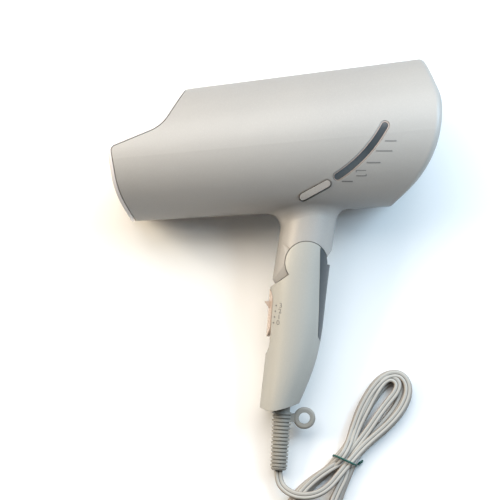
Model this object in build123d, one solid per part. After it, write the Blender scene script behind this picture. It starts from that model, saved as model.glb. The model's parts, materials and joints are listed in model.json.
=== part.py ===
from build123d import *

import os
from math import atan2, cos, degrees, radians, sin, tan

# A folding hair dryer of the mist type.
#
# Every piece is drawn in the dryer's own frame, in millimetres:
#   X (u) runs along the barrel, from the air outlet to the air intake,
#   Y (v) runs from the handle to the barrel,
#   Z (w) runs out of the left side, where the indicator window is.
# The hinge of the folding handle is the Z axis.  At the end the dryer is laid on its right
# side, on the surface Z = 0: PLACE rolls it until the barrel and the handle's end both touch.

os.makedirs("parts", exist_ok=True)

# ---------------------------------------------------------------- driving dimensions
# Barrel: an elliptical cone, higher at the intake
HALF_WIDTH = 46.0
BARREL_ENDS = [(-135.0, 77.2, 39.8), (105.0, 79.0, 48.35)]  # u, centre v, half height
WALL = 2.4
LIP_WIDTH = 8.0
LIP_DEPTH = 6.0
RIM_ROUND = 4.0
JOIN_ROUND = 9.0  # where the neck grows out of the barrel
PANEL_DEPTH = 2.7  # the front panel and its gap, before the shells
NECK_WALL = 2.2
NECK_FLOOR = 17.5  # below this height the neck is solid

# Cuts in the left side: how much wider than the piece that they hold
WINDOW_CUT = 5.6
WINDOW_GROOVE = 6.4
BUTTON_CLEAR = 0.6
BUTTON_GROOVE = 1.7
GROOVE_DEPTH = 0.5

# Handle: it leans towards the outlet.  s runs down the handle from the hinge, p runs backwards.
LEAN = 13.8
NECK = (-2.4, 17.7, 16.4)  # centre p, half depth, half thickness
HANDLE_STATIONS = [
    (-16.0, *NECK),
    (14.0, -2.45, 18.5, 16.2),
    (40.0, -0.85, 18.05, 16.0),
    (65.0, -0.5, 16.4, 15.8),
    (85.0, -2.2, 13.8, 15.2),
    (102.0, -3.6, 11.4, 14.3),
]
HANDLE_WALL = 1.8

# Hinge
KNUCKLE_R = 13.8
TONGUE_R = 13.4
KNUCKLE_GAP = 0.35
TONGUE_HALF = 6.0
CHEEK_GAP = 0.3
SEAM_ANGLE = 47.2  # from the handle's axis, towards the front
FOLD_ANGLE = 72.0
PIN_R = 5.0
DETENT_RISE = 9.4
DETENT_R = 1.6

# Speed switch, on the front of the handle
SWITCH_TRAVEL = 11.4
PLATE_LENGTH = 31.0
PLATE_HALF = 7.2
FRONT_CURVE_R = 14.2

# Air path
FAN_AXIS_V = 78.0
DUCT_R = 32.0
OUTLET_V = 62.5
OUTLET_HALF_V = 18.5
OUTLET_HALF_W = 27.0

# Heater
WIRE_R = 0.9
COIL_TURNS = 7
COIL_PITCH = 8.6
BOARD_HALF = 0.5

# Cord
CORD_R = 2.0
RELIEF_START = (-24.0, -95.6)
RELIEF_END = (-29.6, -133.9)
RELIEF_RIBS = 15
RELIEF_TOP_R = 6.2
RELIEF_TAPER = 0.7
RIB_DEPTH = 1.0
RING_CENTRE = (-9.8, -101.3)
RING_R = 7.2
RING_HALF = 2.2
RING_ROUND = 1.6
RING_HOLE_R = 3.7

# Lying on its right side
ROLL = 10.594
LIFT = 31.606
SHIFT_X = 13.204
SHIFT_Y = 3.736

# ---------------------------------------------------------------- frames
DOWN = Vector(-sin(radians(LEAN)), -cos(radians(LEAN)), 0)
BACK = Vector(cos(radians(LEAN)), -sin(radians(LEAN)), 0)
SIDE = Vector(0, 0, 1)
DETENT = DOWN * -DETENT_RISE
PLACE = Pos(SHIFT_X, SHIFT_Y, LIFT) * Rot(ROLL, 0, 0)

# The side view of the handle: its first coordinate is p and its second is minus s
GRIP = Plane(origin=(0, 0, 0), x_dir=BACK, z_dir=SIDE)


def across(s):
    """The plane square to the handle at s: p, then w."""
    return Plane(origin=DOWN * s, x_dir=BACK, z_dir=DOWN)


def along(u, v=0.0):
    """The plane square to the barrel at u: v, then w."""
    return Plane(origin=(u, v, 0), x_dir=(0, 1, 0), z_dir=(1, 0, 0))


def slab(face, low, high):
    """The side-view face as a solid between two heights of w."""
    return Pos(0, 0, low) * extrude(face, high - low)


def both_sides(face, half):
    return slab(face, -half, half)


def rod(r, low, high, u=0.0, v=0.0):
    """A cylinder along w."""
    return Pos(u, v, low) * Cylinder(r, high - low, align=(Align.CENTER, Align.CENTER, Align.MIN))


def barrel_rod(r, u_low, u_high, v=FAN_AXIS_V, w=0.0):
    """A cylinder along the barrel."""
    return extrude(along(u_low, v) * Pos(0, w) * Circle(r), u_high - u_low)


# ---------------------------------------------------------------- barrel surfaces
def barrel(inset=0.0):
    """The barrel's cone with its walls moved inwards."""
    rings = [
        along(u, v) * Ellipse(half - inset, HALF_WIDTH - inset)
        for u, v, half in BARREL_ENDS
    ]
    return loft(rings, ruled=True)


# The stepped front, from the bottom: a leaning outlet face, a rounded corner, a shelf, a step
FRONT_LINE = FilletPolyline(
    (-98.3, 8.0), (-119.8, 56.0), (-122.2, 86.8), (-87.3, 98.0), (-52.3, 145.0),
    radius=[60.0, 6.0, 22.0],
)
# The slanted rear, from the top
REAR_LINE = FilletPolyline((82.0, 145.0), (95.9, 98.5), (91.9, 60.0), (29.9, 8.0), radius=[30.0, 72.0])


def closed_region(line, far_u):
    """The region between a line and a far upright edge, as a face."""
    start = line @ 0
    end = line @ 1
    sides = Polyline((end.X, end.Y), (far_u, end.Y), (far_u, start.Y), (start.X, start.Y))
    return make_face(Curve() + [line, sides])


FRONT_REGION = closed_region(FRONT_LINE, 180.0)
REAR_REGION = closed_region(REAR_LINE, -180.0)


def behind_front(depth=0.0):
    face = offset(FRONT_REGION, -depth, kind=Kind.INTERSECTION) if depth else FRONT_REGION
    return both_sides(face, 60)


def before_rear(depth=0.0):
    face = offset(REAR_REGION, -depth, kind=Kind.INTERSECTION) if depth else REAR_REGION
    return both_sides(face, 60)


# ---------------------------------------------------------------- grip surfaces
def grip_section(s, centre, depth, thickness, inset=0.0):
    return across(s) * Pos(centre, 0) * Ellipse(depth - inset, thickness - inset)


def neck_prism(inset=0.0):
    return extrude(grip_section(-60.0, *NECK, inset), 80.0)


def handle_body(inset=0.0):
    return loft([grip_section(*station, inset) for station in HANDLE_STATIONS])


def seam_point(r, lift):
    """A point on the seam's ray, at r from the hinge and raised towards the neck by lift."""
    back = sin(radians(SEAM_ANGLE))
    down = cos(radians(SEAM_ANGLE))
    return (-back * r - down * lift, -down * r + back * lift)


SEAM_HALF_GAP = 0.15
NECK_REGION = GRIP * make_face(
    Polyline(
        seam_point(0, SEAM_HALF_GAP), seam_point(40, SEAM_HALF_GAP), (-29.7, 70.0), (40.0, 70.0),
        (40.0, 10.6), (15.2, 10.6), (12.7, 5.2), seam_point(0, SEAM_HALF_GAP),
    )
)
HANDLE_REGION = GRIP * make_face(
    Polyline(
        seam_point(0, -SEAM_HALF_GAP), seam_point(40, -SEAM_HALF_GAP), (-29.7, -97.6),
        (-14.8, -98.4), (-10.0, -99.4), (-5.0, -98.5), (1.8, -95.5), (9.8, -91.5), (30.0, -82.0),
        (30.0, 1.0), (0.0, 1.0), seam_point(0, -SEAM_HALF_GAP),
    )
)
STRIP_EDGE = [(7.75, 9.5), (13.0, -28.6), (15.1, -46.5), (17.6, -50.5)]


# ---------------------------------------------------------------- windows in the left side
WINDOW_ARC = ThreePointArc((24.4, 53.8), (42.4, 66.4), (57.3, 83.8))
BUTTON_ENDS = [(1.2, 42.7), (17.3, 49.8)]
BUTTON_WIDTH = 4.4


def button_outline(width):
    centre = ((BUTTON_ENDS[0][0] + BUTTON_ENDS[1][0]) / 2, (BUTTON_ENDS[0][1] + BUTTON_ENDS[1][1]) / 2)
    run = Vector(*BUTTON_ENDS[1]) - Vector(*BUTTON_ENDS[0])
    turn = degrees(atan2(run.Y, run.X))
    return Pos(*centre) * Rot(0, 0, turn) * SlotOverall(run.length + width, width)


def window_outline(width):
    return SlotArc(WINDOW_ARC, width)


# ---------------------------------------------------------------- screws shared by the shells
# u, v, half length of the boss
HOUSING_SCREWS = [(50.0, 116.5, 20.0), (-34.0, 113.0, 17.0), (2.5, 22.5, 12.0)]
HANDLE_SCREWS = [(-9.5, -43.0, 12.0), (-10.9, -73.5, 11.0)]
BOSS_R = 3.4
SCREW_R = 1.25
HEAD_R = 2.4


def screw(u, v, half):
    """A pan-head screw that is driven in from the right side."""
    head = rod(HEAD_R, -half - 1.2, -half + 0.6, u, v)
    cross = Pos(u, v, -half - 0.9) * (Box(2.8, 0.6, 0.7) + Box(0.6, 2.8, 0.7))
    return head + rod(SCREW_R, -half, half * 0.55, u, v) - cross


def screw_room(u, v, half):
    """The space that the screw and the driver need."""
    return rod(HEAD_R + 0.15, -60, -half + 0.65, u, v) + rod(SCREW_R, -half, half * 0.55, u, v)


def bosses(screws, outside):
    """Posts that join the two shells, kept inside the outer surface."""
    posts = rod(BOSS_R, -60, 60, *screws[0][:2])
    for u, v, _ in screws[1:]:
        posts = posts + rod(BOSS_R, -60, 60, u, v)
    return posts & outside


# ---------------------------------------------------------------- housing
def nose_limit():
    """What the hollow shoulder of the handle leaves room for when it swings over the nose."""
    reach = sin(radians(SEAM_ANGLE))
    centre, depth, thickness = NECK
    shrink = HANDLE_WALL + 0.3
    profile = Pos(-centre / reach, 0) * Ellipse((depth - shrink) / reach, thickness - shrink)
    profile = profile & (Pos(30, 0) * Rectangle(60, 80))
    return revolve(Plane.XZ * profile, Axis.Z)


def swing_sector():
    """The sector in front of the hinge that the shoulder sweeps when the handle folds."""
    angles = [SEAM_ANGLE - 1, SEAM_ANGLE + 38, SEAM_ANGLE + FOLD_ANGLE + 2.5]
    corners = [(-60 * sin(radians(a)), -60 * cos(radians(a))) for a in angles]
    return both_sides(GRIP * make_face(Polyline((0, 0), *corners, (0, 0))), 40)


def neck_solid():
    knuckle_room = rod(KNUCKLE_R + KNUCKLE_GAP, -40, 40) - rod(60, -TONGUE_HALF, TONGUE_HALF)
    neck = (neck_prism() & both_sides(NECK_REGION, 40)) - knuckle_room
    return neck - (swing_sector() - nose_limit())


def rear_rim(body):
    """The edges round the intake end."""
    return [e for e in body.edges() if e.center().X > 50 and e.length > 8]


def neck_join(body):
    """The edges where the neck runs into the barrel."""
    return [
        e for e in body.edges()
        if 29 < e.center().Y < 50 and abs(e.center().X) < 34 and e.length > 20
    ]


def housing():
    # The outside: the barrel's cone, the stub of the neck and the knuckle's seat
    outer = (barrel() & behind_front(PANEL_DEPTH)) & before_rear()
    outer = fillet(rear_rim(outer), RIM_ROUND)
    outer = outer + (neck_prism() & Pos(0, 40, 0) * Box(120, 40, 80))
    outer = fillet(neck_join(outer), JOIN_ROUND) + neck_solid()

    # The inside: two walls, with a narrower lip round the intake
    hollow = (barrel(WALL) & before_rear(LIP_DEPTH)) + barrel(LIP_WIDTH)
    neck_room = Polyline(
        (-30, NECK_FLOOR), (30, NECK_FLOOR), (30, 60), (-30, 60), (-30, NECK_FLOOR)
    )
    neck_hollow = neck_prism(NECK_WALL) & both_sides(GRIP * make_face(neck_room), 30)
    body = outer - hollow - neck_hollow

    # Screw posts: two in the barrel, one in the neck, and the tongue of the hinge
    barrel_posts = bosses(HOUSING_SCREWS[:2], barrel(0.5))
    neck_post = bosses(HOUSING_SCREWS[2:], neck_prism(0.5))
    body = body + barrel_posts + neck_post + rod(TONGUE_R, -TONGUE_HALF, TONGUE_HALF)
    body = body - rod(PIN_R + 0.05, -40, 40)
    for item in HOUSING_SCREWS:
        body = body - screw_room(*item)

    # The window and the button: a cut for each, and a shallow groove round them
    window_cut = slab(window_outline(WINDOW_CUT), 0, 80) & barrel(-2)
    button_cut = slab(button_outline(BUTTON_WIDTH + BUTTON_CLEAR), 0, 80)
    rings = button_outline(BUTTON_WIDTH + BUTTON_GROOVE) + window_outline(WINDOW_GROOVE)
    groove = slab(rings, 0, 80) - barrel(GROOVE_DEPTH)
    body = body - window_cut - button_cut - groove

    # A blind hole for a detent spring in each face of the tongue
    for low, high in ((0.6, 30), (-30, -0.6)):
        body = body - rod(DETENT_R, low, high, DETENT.X, DETENT.Y)
    return body


def halves(body):
    """The left and the right half of a shell that is parted on the middle plane."""
    left = body & Pos(0, 0, 100) * Box(400, 400, 200)
    right = body & Pos(0, 0, -100) * Box(400, 400, 200)
    return left, right


# ---------------------------------------------------------------- front end
def outlet_oval(grow, u_low, u_high):
    face = along(u_low, OUTLET_V) * Ellipse(OUTLET_HALF_V + grow, OUTLET_HALF_W + grow)
    return extrude(face, u_high - u_low)


STEP_OUT = Vector(-0.802, 0.597, 0)
STEP_UP = Vector(0.597, 0.802, 0)
STEP_FACE = Plane(origin=(-78.8, 109.4, 0), x_dir=STEP_UP, z_dir=STEP_OUT)


def mist_pad(grow, depth_in, depth_out):
    pad = STEP_FACE * SlotOverall(34 + 2 * grow, 10 + 2 * grow, rotation=90)
    return Pos(*(STEP_OUT * -depth_in)) * extrude(pad, depth_in + depth_out)


def front_panel():
    plate = barrel() & (behind_front() - behind_front(2.2))
    spigot = (barrel(WALL + 0.2) - barrel(WALL + 1.8)) & (behind_front(2.2) - behind_front(7.5))
    panel = plate + spigot
    panel = panel - outlet_oval(1.7, -135, -90) - mist_pad(0.15, 12, 5)
    return panel


def outlet_collar():
    collar = outlet_oval(1.5, -135, -98) - outlet_oval(0, -136, -97)
    return collar & behind_front(0.0)


def outlet_grille():
    ring = outlet_oval(-0.15, -106, -102) - outlet_oval(-2.0, -107, -101)
    inside = outlet_oval(-1.0, -106, -102)
    bars = Pos(-104, OUTLET_V, 0) * Box(2.5, 60, 1.6)
    for step in range(-2, 3):
        bars = bars + Pos(-104, OUTLET_V + step * 6.2, 0) * Box(4, 1.4, 80)
    return ring + (bars & inside)


def mist_outlet():
    pad = mist_pad(0, 3.0, 0.3)
    for w in (-11.0, 0.0, 11.0):
        bore = STEP_FACE * Pos(0, w) * Circle(2.6 if w == 0 else 1.8)
        pad = pad - Pos(*(STEP_OUT * -6)) * extrude(bore, 12)
    return pad


def mist_generator():
    block = Pos(-59, 104.5, 0) * Box(18, 11, 24)
    return block + Pos(-69.9, 104.5, 0) * Box(4, 8, 26)


def mist_electrodes():
    pins = [barrel_rod(0.8, -74.0, -71.95, 104.5, w) for w in (-11.0, 11.0)]
    return Compound(pins)


# ---------------------------------------------------------------- air path
def sleeve_body(inset=0.0):
    rings = [
        along(-98.0, OUTLET_V) * Ellipse(OUTLET_HALF_V - inset, OUTLET_HALF_W - inset),
        along(-10.0, FAN_AXIS_V) * Ellipse(DUCT_R - 0.4 - inset, DUCT_R - 0.4 - inset),
    ]
    return loft(rings, ruled=True)


SLEEVE_SLOPE = (FAN_AXIS_V - OUTLET_V) / 88.0


def sleeve_centre(u):
    return OUTLET_V + (u + 98.0) * SLEEVE_SLOPE


def coil_rings(wire_r):
    rings = []
    for index in range(COIL_TURNS):
        u = -84.0 + index * COIL_PITCH
        radius = 14.5 + index * 1.35
        ring = Pos(u, sleeve_centre(u), 0) * Rot(0, 90, 0) * Torus(radius, wire_r)
        rings.append(ring)
    return rings


def board_outline(half_low, half_high):
    """A tapered strip along the sleeve's axis, as a side-view face."""
    low, high = -91.0, -24.0
    corners = [
        (low, sleeve_centre(low) - half_low), (high, sleeve_centre(high) - half_high),
        (high, sleeve_centre(high) + half_high), (low, sleeve_centre(low) + half_low),
    ]
    return make_face(Polyline(*corners, corners[0]))


def heater_boards():
    upright = both_sides(board_outline(16.5, 24.5), BOARD_HALF)
    flat = both_sides(board_outline(BOARD_HALF, BOARD_HALF), 24.0) & sleeve_body(3.5)
    boards = upright + flat
    for ring in coil_rings(WIRE_R + 0.2):
        boards = boards - ring
    return boards


def fan_duct():
    tube = barrel_rod(DUCT_R + 1.5, -9.0, 66.0) - barrel_rod(DUCT_R, -10, 67)
    bulkhead = Pos(62.5, 78.5, 0) * Box(2, 120, 120) & barrel(WALL + 0.1)
    bulkhead = bulkhead - barrel_rod(DUCT_R, 40, 70)
    return (tube + bulkhead) & before_rear(8.5)


def motor_mount():
    mount = barrel_rod(DUCT_R - 0.1, 4, 20) - barrel_rod(DUCT_R - 1.6, 3, 21)
    hub = barrel_rod(16.0, 4, 20) - barrel_rod(14.05, 3, 21)
    mount = mount + hub
    for index in range(7):
        vane = Pos(12, 23.5, 0) * Rot(0, 18, 0) * Box(13, 16.0, 1.4)
        mount = mount + Pos(0, FAN_AXIS_V, 0) * Rot(360 / 7 * index, 0, 0) * vane
    return mount


def motor():
    can = barrel_rod(14.0, -6, 26) + barrel_rod(5.0, -9, -6) + barrel_rod(4.5, 26, 28.5)
    return can - barrel_rod(1.65, -20, 40)


def fan():
    hub = barrel_rod(11.0, 34, 50) - barrel_rod(1.6, 30, 60)
    disc = hub - (barrel_rod(9.5, 36, 51) - barrel_rod(3.5, 30, 60))
    for index in range(9):
        blade = Pos(42, 20.6, 0) * Rot(0, 48, 0) * Box(15, 21.4, 1.3)
        disc = disc + Pos(0, FAN_AXIS_V, 0) * Rot(40 * index, 0, 0) * blade
    return disc & barrel_rod(31.3, 33, 51)


# ---------------------------------------------------------------- intake
def intake_grille():
    plate = barrel(LIP_WIDTH + 0.2) & (before_rear(1.6) - before_rear(3.8))
    field = barrel(LIP_WIDTH + 5.0)
    slots = None
    for step in range(-8, 9):
        slot = Pos(70, FAN_AXIS_V + 1 + step * 4.4, 0) * Box(90, 2.6, 100)
        slots = slot if slots is None else slots + slot
    slots = (slots & field) - Pos(70, 78, 0) * Box(120, 120, 2.4)
    for w in (-19.0, 19.0):
        slots = slots - Pos(70, 78, w) * Box(120, 120, 2.0)
    return plate - slots


def intake_filter():
    return barrel(LIP_WIDTH + 0.4) & (before_rear(4.2) - before_rear(4.8))


def filter_ring():
    return (barrel(LIP_WIDTH + 0.4) - barrel(LIP_WIDTH + 3)) & (before_rear(4.9) - before_rear(7.2))


# ---------------------------------------------------------------- window, button and board
BOARD_LOW = 34.2
BOARD_TOP = 35.6


def control_board():
    outline = make_face(
        Polyline((6, 54.4), (60, 54.4), (60, 92), (22, 92), (6, 74), (6, 54.4))
    )
    return slab(outline, BOARD_LOW, BOARD_TOP)


INDICATOR_SPOTS = [0.1, 0.3, 0.5, 0.7, 0.9]


def indicator_leds():
    leds = []
    for spot in INDICATOR_SPOTS:
        point = WINDOW_ARC @ spot
        leds.append(Pos(point.X, point.Y, BOARD_TOP + 0.5) * Box(2.4, 1.6, 1.0))
    return Compound(leds)


def light_guide():
    strip = slab(window_outline(3.4), BOARD_TOP + 1.2, 70)
    return strip & barrel(WALL + 0.15)


def indicator_window():
    strip = slab(window_outline(4.2), 0, 80)
    return strip & (barrel(0.75) - barrel(WALL + 0.05))


def window_rim():
    ring = slab(window_outline(5.5), 0, 80) - slab(window_outline(4.3), 0, 80)
    return ring & (barrel(0.35) - barrel(WALL + 0.05))


def mode_button():
    cap = slab(button_outline(BUTTON_WIDTH), 0, 80) & (barrel(-0.7) - barrel(1.8))
    stem = rod(1.4, 24.6, 33, 9.2, 46.2) & barrel(0.6)
    return cap + stem


def button_switch():
    base = Pos(9.2, 46.2, 20.4) * Box(10, 8, 3.2)
    cup = rod(1.5, 22.0, 23.4, 9.2, 46.2)
    return base + cup


def button_spring():
    return rod(2.4, 22.1, 26.0, 9.2, 46.2) - rod(1.7, 22, 27, 9.2, 46.2)


def thermostat():
    return Pos(-58, sleeve_centre(-58) + 4.2, 8.0) * Box(9, 5, 6)


def thermal_fuse():
    return barrel_rod(1.6, -50, -39, sleeve_centre(-44) - 3.6, -6.0)


# ---------------------------------------------------------------- handle
def strip_region(gap=0.0):
    points = [(p + gap, y) for p, y in STRIP_EDGE]
    face = make_face(Polyline(*points, (30.0, -50.5), (30.0, 24.0), (points[0][0], 24.0), points[0]))
    return both_sides(GRIP * face, 40)


FRONT_POINT = BACK * -20.6 + DOWN * 20.0
SLIDE_SLOPE = 0.0833
SLIDE_DIR = (DOWN + BACK * SLIDE_SLOPE).normalized()
INWARD = (BACK - DOWN * SLIDE_SLOPE).normalized()
SLIDE = Plane(origin=FRONT_POINT, x_dir=INWARD, z_dir=SLIDE_DIR)


def front_shell(outer_depth, inner_depth, low=-10, high=70):
    """A layer that follows the handle's front between two depths, from low to high along it."""
    outside = Pos(FRONT_CURVE_R, 0, low) * Cylinder(
        FRONT_CURVE_R - outer_depth, high - low, align=(Align.CENTER, Align.CENTER, Align.MIN))
    inside = Pos(FRONT_CURVE_R, 0, low - 1) * Cylinder(
        FRONT_CURVE_R - inner_depth, high - low + 2, align=(Align.CENTER, Align.CENTER, Align.MIN))
    return SLIDE.location * (outside - inside)


def front_slot(start, length, half, depth_out, depth_in):
    """A round-ended block square to the handle's front."""
    face = Plane(origin=FRONT_POINT - INWARD * depth_out, x_dir=SLIDE_DIR, z_dir=INWARD)
    shape = face * Pos(start + length / 2, 0) * SlotOverall(length, 2 * half)
    return extrude(shape, depth_out + depth_in)


RECESS_START = 0.4
PLATE_START = 0.8
RECESS_LENGTH = PLATE_LENGTH + SWITCH_TRAVEL + 0.8


def slide_button():
    plate = front_shell(-0.4, 1.7) & front_slot(PLATE_START, PLATE_LENGTH, PLATE_HALF, 4, 8)
    nub = make_face(Polyline((0.6, 8.6), (-3.0, 8.9), (-3.0, 9.5), (0.6, 13.6), (0.6, 8.6)))
    face = Plane(origin=FRONT_POINT, x_dir=INWARD, z_dir=INWARD.cross(SLIDE_DIR)) * nub
    nub_body = extrude(face, 5.5, both=True)
    return plate + nub_body


def slide_carrier():
    return SLIDE.location * Pos(5.4, 0, 16) * Box(7.2, 3.4, 4)


def slide_recess():
    layer = front_shell(2.3, 3.2) & (SLIDE.location * Pos(5, 0, 22.0) * Box(12, 17.5, 50))
    slot = SLIDE.location * Pos(2, 0, 16 + SWITCH_TRAVEL / 2) * Box(8, 4.0, 4.6 + SWITCH_TRAVEL)
    return layer - slot


def switch_block():
    block = SLIDE.location * Pos(11.5, 0, 22) * Box(7.0, 12, 30)
    groove = SLIDE.location * Pos(8.5, 0, 16 + SWITCH_TRAVEL / 2) * Box(2.6, 4.0, 5 + SWITCH_TRAVEL)
    return block - groove


def relief_axis_plane(distance):
    start = Vector(*RELIEF_START, 0)
    direction = (Vector(*RELIEF_END, 0) - start).normalized()
    return Plane(origin=start + direction * distance, x_dir=SIDE, z_dir=direction)


RELIEF_LENGTH = (Vector(*RELIEF_END) - Vector(*RELIEF_START)).length


def relief_rod(r, low, high):
    return extrude(relief_axis_plane(low) * Circle(r), high - low)


# How far down the handle is hollow, from its front to its back
HOLLOW_END = [(40, -76), (12, -87.8), (-7, -96), (-15.5, -93), (-40, -93)]


def tongue_slot():
    """The slot between the two cheeks that the barrel's tongue turns in."""
    half = TONGUE_HALF + CHEEK_GAP
    return rod(KNUCKLE_R + 0.4, -half, half)


def handle():
    # The outside, with two solid cheeks at the hinge, and the hollow between them
    solid = handle_body() & (both_sides(HANDLE_REGION, 40) + rod(KNUCKLE_R, -40, 40))
    room = GRIP * make_face(Polyline((-40, 40), (40, 40), *HOLLOW_END, (-40, 40)))
    cheek = TONGUE_HALF + CHEEK_GAP
    cheeks = rod(KNUCKLE_R, cheek, 40) + rod(KNUCKLE_R, -40, -cheek)
    hollow = (handle_body(HANDLE_WALL) & both_sides(room, 40)) - cheeks
    shell = solid - hollow - tongue_slot()

    # The seat of the strip along the back, then the screw posts
    strip_room = (handle_body(-1) - handle_body(HANDLE_WALL + 0.15)) & strip_region(-0.15)
    shell = (shell - strip_room) + bosses(HANDLE_SCREWS, handle_body(0.5))
    for item in HANDLE_SCREWS:
        shell = shell - screw_room(*item)

    # The switch's recess, the strain relief's collared bore and the bore of the hinge pins
    recess = front_slot(RECESS_START, RECESS_LENGTH, PLATE_HALF + 0.4, 6, 4)
    liner_room = front_shell(1.9, 6) & (SLIDE.location * Pos(5, 0, 22.0) * Box(14, 18.2, 50.6))
    shell = shell - recess - liner_room
    shell = shell - relief_rod(5.3, -12, 10) - relief_rod(6.8, -9, -5.2)
    shell = shell - rod(PIN_R + 0.02, -11.2, 11.2)
    return shell


def grip_strip():
    layer = handle_body() - handle_body(HANDLE_WALL)
    region = both_sides(HANDLE_REGION, 40) + rod(KNUCKLE_R, -40, 40)
    return (layer & strip_region() & region) - tongue_slot()


def hinge_pins():
    pins = []
    for sign in (-1, 1):
        pin = rod(PIN_R, 0.6, 11.1) - rod(3.0, 0, 12)
        pins.append(pin if sign > 0 else mirror(pin, Plane.XY))
    return Compound(pins)


def detent_balls():
    balls = [Pos(DETENT.X, DETENT.Y, side * 4.65) * Sphere(1.5) for side in (-1, 1)]
    return Compound(balls)


def detent_springs():
    springs = []
    for low, high in ((0.8, 3.05), (-3.05, -0.8)):
        springs.append(rod(1.4, low, high, DETENT.X, DETENT.Y) - rod(0.9, -9, 9, DETENT.X, DETENT.Y))
    return Compound(springs)


def strain_relief():
    # A plug with a collar inside the handle, then the ribs, a rounded tip and the hang ring
    pitch = (RELIEF_LENGTH - 2.0) / RELIEF_RIBS
    body = relief_rod(5.2, -10, 0.3) + relief_rod(6.6, -8.5, -5.6)
    profile = [(0, 0)]
    for rib in range(RELIEF_RIBS):
        top = RELIEF_TOP_R - RELIEF_TAPER * rib / RELIEF_RIBS
        at = 0.3 + rib * pitch
        root = top - RIB_DEPTH
        profile += [(root, at), (top, at + 0.25), (top, at + pitch - 0.95), (root, at + pitch - 0.7)]
    profile += [(5.3, RELIEF_LENGTH - 1.6), (4.6, RELIEF_LENGTH - 0.4)]
    profile += [(4.0, RELIEF_LENGTH), (0, RELIEF_LENGTH), (0, 0)]
    start = relief_axis_plane(0)
    side_plane = Plane(origin=start.origin, x_dir=SIDE, z_dir=SIDE.cross(start.z_dir))
    flip = 1 if side_plane.y_dir.dot(start.z_dir) > 0 else -1
    face = side_plane * make_face(Polyline(*[(r, at * flip) for r, at in profile]))
    ribbed = revolve(face, Axis(start.origin, start.z_dir))
    web = Pos(-18.5, -100.4, 0) * Box(14, 5.4, 3.6)
    ring = rod(RING_R, -RING_HALF, RING_HALF, *RING_CENTRE)
    ring = fillet(ring.edges().filter_by(GeomType.CIRCLE), RING_ROUND)
    return (body + ribbed + web + ring) - rod(RING_HOLE_R, -9, 9, *RING_CENTRE)


def cord_clamp():
    clamp = relief_axis_plane(-14.5) * Box(13, 9, 4)
    return clamp - relief_rod(1.3, -30, 0)


def handle_wires():
    wires = []
    for side in (-1, 1):
        start = relief_axis_plane(-18.0).origin + SIDE * (side * 2.2) + BACK * 2.0
        line = Line(start, start - DOWN * 13.0)
        wires.append(sweep(Plane(origin=line @ 0, z_dir=line % 0) * Circle(1.0), path=line))
    return Compound(wires)


# ---------------------------------------------------------------- cord, on the surface Z = 0
# These pieces are drawn where they lie, after the dryer is laid down.
RELIEF_TIP = PLACE * Pos(*RELIEF_END, 0)
CORD_EXIT = RELIEF_TIP.position

# From the relief's tip: a U turn over the hank's lower strands, then back to the wire tie
LEAD_POINTS = [
    (-17.2, -134.4, 5.7), (-13.4, -141.2, 7.2), (-6.4, -145.8, 9.0), (2.0, -147.0, 9.8),
    (10.2, -145.2, 9.6), (17.4, -140.2, 8.6), (22.4, -134.8, 7.6),
]
TAIL_POINTS = [
    (14.0, -175.0, 2.6), (23.5, -178.4, 2.8), (32.3, -177.6, 4.4), (40.0, -174.6, 6.6),
    (46.5, -172.5, 7.6),
]
PLUG_CENTRE_Y = -172.5
PLUG_CENTRE_Z = 7.6
TIE_CENTRE = (27.7, -124.8)
TIE_HEADING = 61.8
NECK_HALF = 7.6
NECK_TOP = 9.8
UPPER_LOOP = [
    (20.6, -119.7), (36.4, -90.2), (50.0, -73.0), (67.2, -66.6), (76.4, -82.1), (62.0, -103.2),
    (34.6, -129.2),
]
LOWER_LOOP = [
    (20.6, -120.0), (-7.0, -138.0), (-17.5, -153.2), (-15.0, -176.2), (0.0, -188.2), (13.5, -178.2),
    (18.6, -160.2), (22.0, -147.2), (34.8, -129.4),
]


def corner_radii(points):
    """0.45 of the shorter run over the tangent of half the turn, for each inner point."""
    radii = []
    for before, here, after in zip(points, points[1:], points[2:]):
        run_in = Vector(*here) - Vector(*before)
        run_out = Vector(*after) - Vector(*here)
        half_turn = radians(run_in.get_angle(run_out)) / 2
        radii.append(0.45 * min(run_in.length, run_out.length) / tan(half_turn))
    return radii


def cord_tube(points, name):
    radii = corner_radii(points)
    path = FilletPolyline(*points, radius=radii)
    tube = sweep(Plane(origin=path @ 0, z_dir=path % 0) * Circle(CORD_R), path=path)
    section = Circle(CORD_R).area
    print(name, "radii", [round(r, 1) for r in radii], "length", round(path.length, 1))
    print(name, "volume over section x length", round(tube.volume / (section * path.length), 4))
    return tube


def loop_plate(outline, low, high):
    return slab(make_face(Curve() + [Spline(*outline), Line(outline[-1], outline[0])]), low, high)


def tie_frame():
    return Pos(*TIE_CENTRE, 0) * Rot(0, 0, TIE_HEADING)


def cord_hank():
    neck = tie_frame() * Pos(0, 0, 1.6 + (NECK_TOP - 1.6) / 2) * Box(11, 2 * NECK_HALF, NECK_TOP - 1.6)
    waist = tie_frame() * Pos(0, 0, 5) * (Box(11, 60, 30) - Box(12, 2 * NECK_HALF, 40))
    loops = loop_plate(UPPER_LOOP, 0.2, 8.4) + loop_plate(LOWER_LOOP, 0.2, 4.9)
    foot = tie_frame() * Box(4.4, 60, 3.2)
    return (loops - waist - foot) + (neck - foot)


def wire_tie():
    outer = Box(2.0, 2 * NECK_HALF + 2.6, NECK_TOP - 1.6 + 2.6)
    inner = Box(4.0, 2 * NECK_HALF + 0.1, NECK_TOP - 1.6 + 0.1)
    return tie_frame() * Pos(0, 0, (NECK_TOP + 1.6) / 2) * (outer - inner)


def plug_section(x, half_y, half_z):
    plane = Plane(origin=(x, PLUG_CENTRE_Y, PLUG_CENTRE_Z), x_dir=(0, 1, 0), z_dir=(1, 0, 0))
    return plane * RectangleRounded(2 * half_y, 2 * half_z, min(half_y, half_z) * 0.6)


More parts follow.
